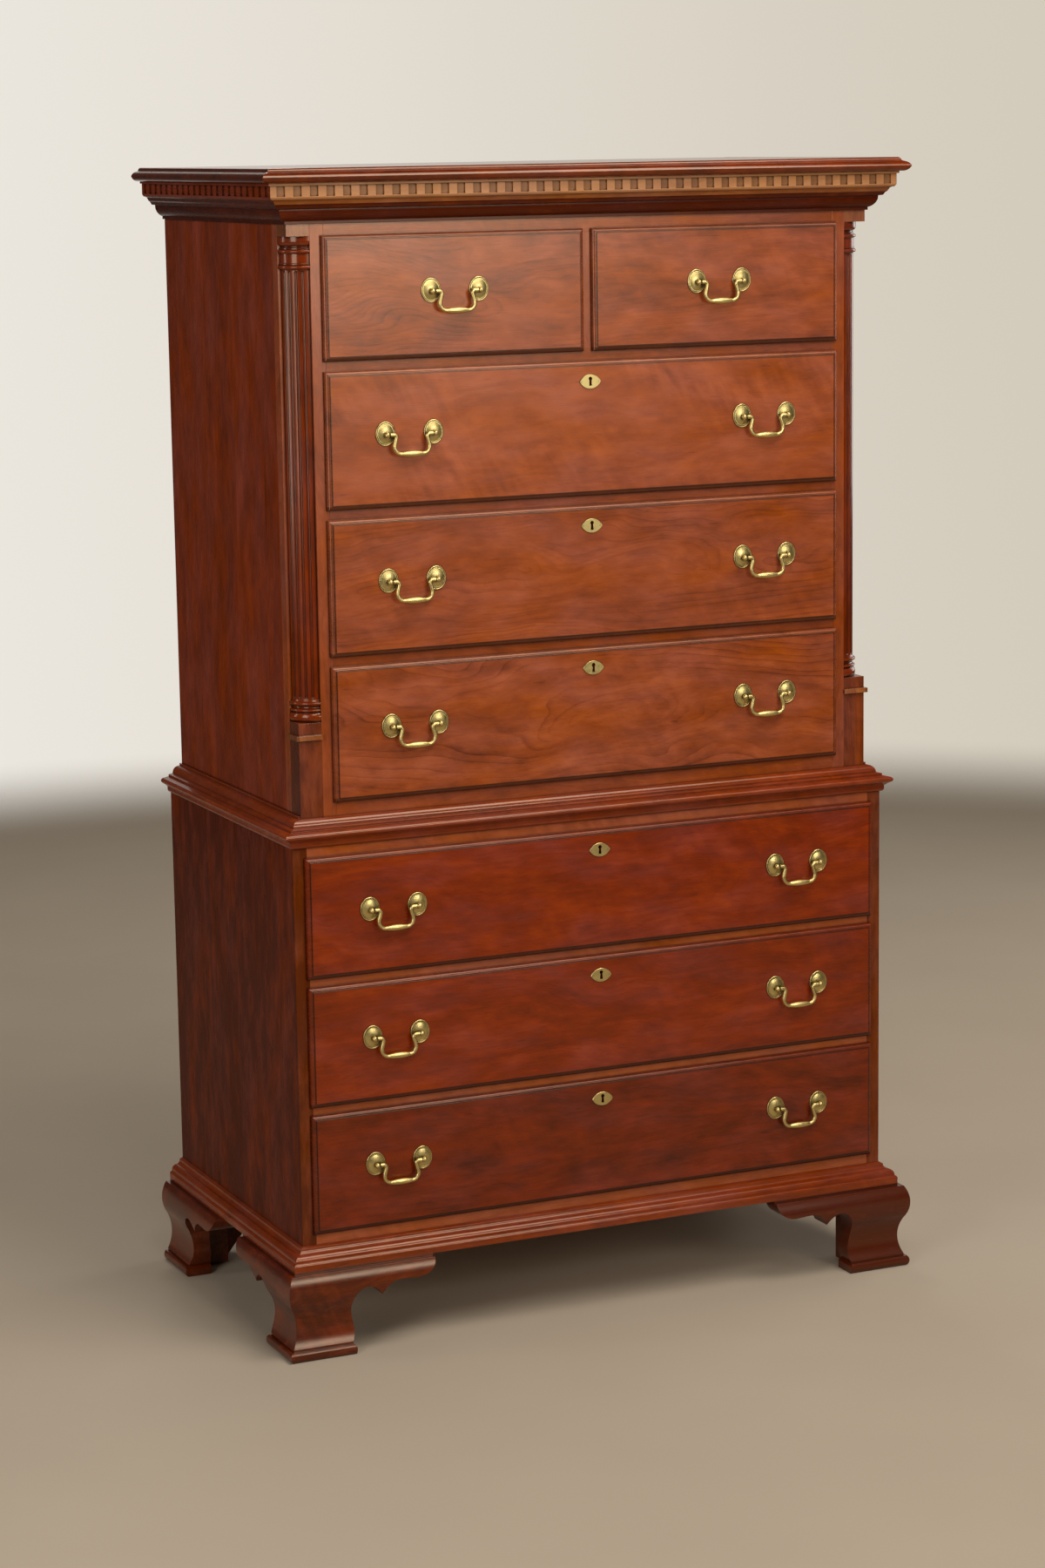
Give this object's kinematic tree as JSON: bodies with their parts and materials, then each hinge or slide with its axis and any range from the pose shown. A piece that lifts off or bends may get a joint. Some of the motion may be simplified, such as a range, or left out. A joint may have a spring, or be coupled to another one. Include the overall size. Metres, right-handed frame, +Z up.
{
  "type": "chest on chest",
  "caption": "Free-standing chest on chest: a drawer case with a dentil cornice and fluted quarter columns on a wider drawer case with ogee bracket feet; lipped drawers with brass bails.",
  "frame": {"origin": "on the floor, under the middle of the whole piece's width and depth", "axes": "+Z up; -Y towards the front, the way the drawers pull out; +X to the right as seen from the front"},
  "size_m": [1.0632, 0.5801, 1.7553],
  "materials": {
    "case_wood": "satin lacquered cherry, reddish brown with dark glaze in the crevices",
    "drawer_front_wood": "satin lacquered cherry, reddish brown with dark glaze along the lips",
    "secondary_wood": "plain sanded poplar, unfinished inside",
    "antique_brass": "antiqued, polished on the high places"
  },
  "bodies": {
    "case": {"lower_side_left": "case_wood", "lower_side_right": "case_wood", "lower_back": "secondary_wood", "lower_boards": "secondary_wood", "lower_rails": "case_wood", "lower_runners": "secondary_wood", "base_moulding": "case_wood", "waist_moulding": "case_wood", "foot_front_left": "case_wood", "foot_front_right": "case_wood", "foot_rear_left": "case_wood", "foot_rear_right": "case_wood", "upper_side_left": "case_wood", "upper_side_right": "case_wood", "upper_back": "secondary_wood", "upper_frame": "case_wood", "upper_bottom_and_runners": "secondary_wood", "quarter_columns": "case_wood", "column_blocks": "case_wood", "cornice_top": "case_wood", "dentil_moulding": "case_wood", "bed_moulding": "case_wood"},
    "lower_bottom_drawer": {"lower_bottom_drawer_front": "drawer_front_wood", "lower_bottom_drawer_box": "secondary_wood", "lower_bottom_drawer_brasses": "antique_brass"},
    "lower_bottom_drawer_bail_left": {"lower_bottom_drawer_bail_left": "antique_brass"},
    "lower_bottom_drawer_bail_right": {"lower_bottom_drawer_bail_right": "antique_brass"},
    "lower_middle_drawer": {"lower_middle_drawer_front": "drawer_front_wood", "lower_middle_drawer_box": "secondary_wood", "lower_middle_drawer_brasses": "antique_brass"},
    "lower_middle_drawer_bail_left": {"lower_middle_drawer_bail_left": "antique_brass"},
    "lower_middle_drawer_bail_right": {"lower_middle_drawer_bail_right": "antique_brass"},
    "lower_top_drawer": {"lower_top_drawer_front": "drawer_front_wood", "lower_top_drawer_box": "secondary_wood", "lower_top_drawer_brasses": "antique_brass"},
    "lower_top_drawer_bail_left": {"lower_top_drawer_bail_left": "antique_brass"},
    "lower_top_drawer_bail_right": {"lower_top_drawer_bail_right": "antique_brass"},
    "upper_bottom_drawer": {"upper_bottom_drawer_front": "drawer_front_wood", "upper_bottom_drawer_box": "secondary_wood", "upper_bottom_drawer_brasses": "antique_brass"},
    "upper_bottom_drawer_bail_left": {"upper_bottom_drawer_bail_left": "antique_brass"},
    "upper_bottom_drawer_bail_right": {"upper_bottom_drawer_bail_right": "antique_brass"},
    "upper_middle_drawer": {"upper_middle_drawer_front": "drawer_front_wood", "upper_middle_drawer_box": "secondary_wood", "upper_middle_drawer_brasses": "antique_brass"},
    "upper_middle_drawer_bail_left": {"upper_middle_drawer_bail_left": "antique_brass"},
    "upper_middle_drawer_bail_right": {"upper_middle_drawer_bail_right": "antique_brass"},
    "upper_top_drawer": {"upper_top_drawer_front": "drawer_front_wood", "upper_top_drawer_box": "secondary_wood", "upper_top_drawer_brasses": "antique_brass"},
    "upper_top_drawer_bail_left": {"upper_top_drawer_bail_left": "antique_brass"},
    "upper_top_drawer_bail_right": {"upper_top_drawer_bail_right": "antique_brass"},
    "small_left_drawer": {"small_left_drawer_front": "drawer_front_wood", "small_left_drawer_box": "secondary_wood", "small_left_drawer_brasses": "antique_brass"},
    "small_left_drawer_bail": {"small_left_drawer_bail": "antique_brass"},
    "small_right_drawer": {"small_right_drawer_front": "drawer_front_wood", "small_right_drawer_box": "secondary_wood", "small_right_drawer_brasses": "antique_brass"},
    "small_right_drawer_bail": {"small_right_drawer_bail": "antique_brass"}
  },
  "joints": [
    {"name": "lower_bottom_drawer_slide", "type": "slide", "parent": "case", "child": "lower_bottom_drawer", "axis": [0, -1, 0], "range_m": [0, 0.38]},
    {"name": "lower_bottom_drawer_bail_left_swing", "type": "hinge", "parent": "lower_bottom_drawer", "child": "lower_bottom_drawer_bail_left", "pos_m": [-0.34, -0.2706, 0.2818], "axis": [-1, 0, 0], "range_deg": [-9, 182]},
    {"name": "lower_bottom_drawer_bail_right_swing", "type": "hinge", "parent": "lower_bottom_drawer", "child": "lower_bottom_drawer_bail_right", "pos_m": [0.34, -0.2706, 0.2818], "axis": [-1, 0, 0], "range_deg": [-9, 182]},
    {"name": "lower_middle_drawer_slide", "type": "slide", "parent": "case", "child": "lower_middle_drawer", "axis": [0, -1, 0], "range_m": [0, 0.38]},
    {"name": "lower_middle_drawer_bail_left_swing", "type": "hinge", "parent": "lower_middle_drawer", "child": "lower_middle_drawer_bail_left", "pos_m": [-0.34, -0.2706, 0.4768], "axis": [-1, 0, 0], "range_deg": [-9, 182]},
    {"name": "lower_middle_drawer_bail_right_swing", "type": "hinge", "parent": "lower_middle_drawer", "child": "lower_middle_drawer_bail_right", "pos_m": [0.34, -0.2706, 0.4768], "axis": [-1, 0, 0], "range_deg": [-9, 182]},
    {"name": "lower_top_drawer_slide", "type": "slide", "parent": "case", "child": "lower_top_drawer", "axis": [0, -1, 0], "range_m": [0, 0.38]},
    {"name": "lower_top_drawer_bail_left_swing", "type": "hinge", "parent": "lower_top_drawer", "child": "lower_top_drawer_bail_left", "pos_m": [-0.34, -0.2706, 0.6718], "axis": [-1, 0, 0], "range_deg": [-9, 182]},
    {"name": "lower_top_drawer_bail_right_swing", "type": "hinge", "parent": "lower_top_drawer", "child": "lower_top_drawer_bail_right", "pos_m": [0.34, -0.2706, 0.6718], "axis": [-1, 0, 0], "range_deg": [-9, 182]},
    {"name": "upper_bottom_drawer_slide", "type": "slide", "parent": "case", "child": "upper_bottom_drawer", "axis": [0, -1, 0], "range_m": [0, 0.38]},
    {"name": "upper_bottom_drawer_bail_left_swing", "type": "hinge", "parent": "upper_bottom_drawer", "child": "upper_bottom_drawer_bail_left", "pos_m": [-0.293, -0.2556, 0.9403], "axis": [-1, 0, 0], "range_deg": [-9, 182]},
    {"name": "upper_bottom_drawer_bail_right_swing", "type": "hinge", "parent": "upper_bottom_drawer", "child": "upper_bottom_drawer_bail_right", "pos_m": [0.293, -0.2556, 0.9403], "axis": [-1, 0, 0], "range_deg": [-9, 182]},
    {"name": "upper_middle_drawer_slide", "type": "slide", "parent": "case", "child": "upper_middle_drawer", "axis": [0, -1, 0], "range_m": [0, 0.38]},
    {"name": "upper_middle_drawer_bail_left_swing", "type": "hinge", "parent": "upper_middle_drawer", "child": "upper_middle_drawer_bail_left", "pos_m": [-0.293, -0.2556, 1.1553], "axis": [-1, 0, 0], "range_deg": [-9, 182]},
    {"name": "upper_middle_drawer_bail_right_swing", "type": "hinge", "parent": "upper_middle_drawer", "child": "upper_middle_drawer_bail_right", "pos_m": [0.293, -0.2556, 1.1553], "axis": [-1, 0, 0], "range_deg": [-9, 182]},
    {"name": "upper_top_drawer_slide", "type": "slide", "parent": "case", "child": "upper_top_drawer", "axis": [0, -1, 0], "range_m": [0, 0.38]},
    {"name": "upper_top_drawer_bail_left_swing", "type": "hinge", "parent": "upper_top_drawer", "child": "upper_top_drawer_bail_left", "pos_m": [-0.293, -0.2556, 1.3703], "axis": [-1, 0, 0], "range_deg": [-9, 182]},
    {"name": "upper_top_drawer_bail_right_swing", "type": "hinge", "parent": "upper_top_drawer", "child": "upper_top_drawer_bail_right", "pos_m": [0.293, -0.2556, 1.3703], "axis": [-1, 0, 0], "range_deg": [-9, 182]},
    {"name": "small_left_drawer_slide", "type": "slide", "parent": "case", "child": "small_left_drawer", "axis": [0, -1, 0], "range_m": [0, 0.38]},
    {"name": "small_left_drawer_bail_swing", "type": "hinge", "parent": "small_left_drawer", "child": "small_left_drawer_bail", "pos_m": [-0.217, -0.2556, 1.5753], "axis": [-1, 0, 0], "range_deg": [-9, 182]},
    {"name": "small_right_drawer_slide", "type": "slide", "parent": "case", "child": "small_right_drawer", "axis": [0, -1, 0], "range_m": [0, 0.38]},
    {"name": "small_right_drawer_bail_swing", "type": "hinge", "parent": "small_right_drawer", "child": "small_right_drawer_bail", "pos_m": [0.217, -0.2556, 1.5753], "axis": [-1, 0, 0], "range_deg": [-9, 182]}
  ]
}
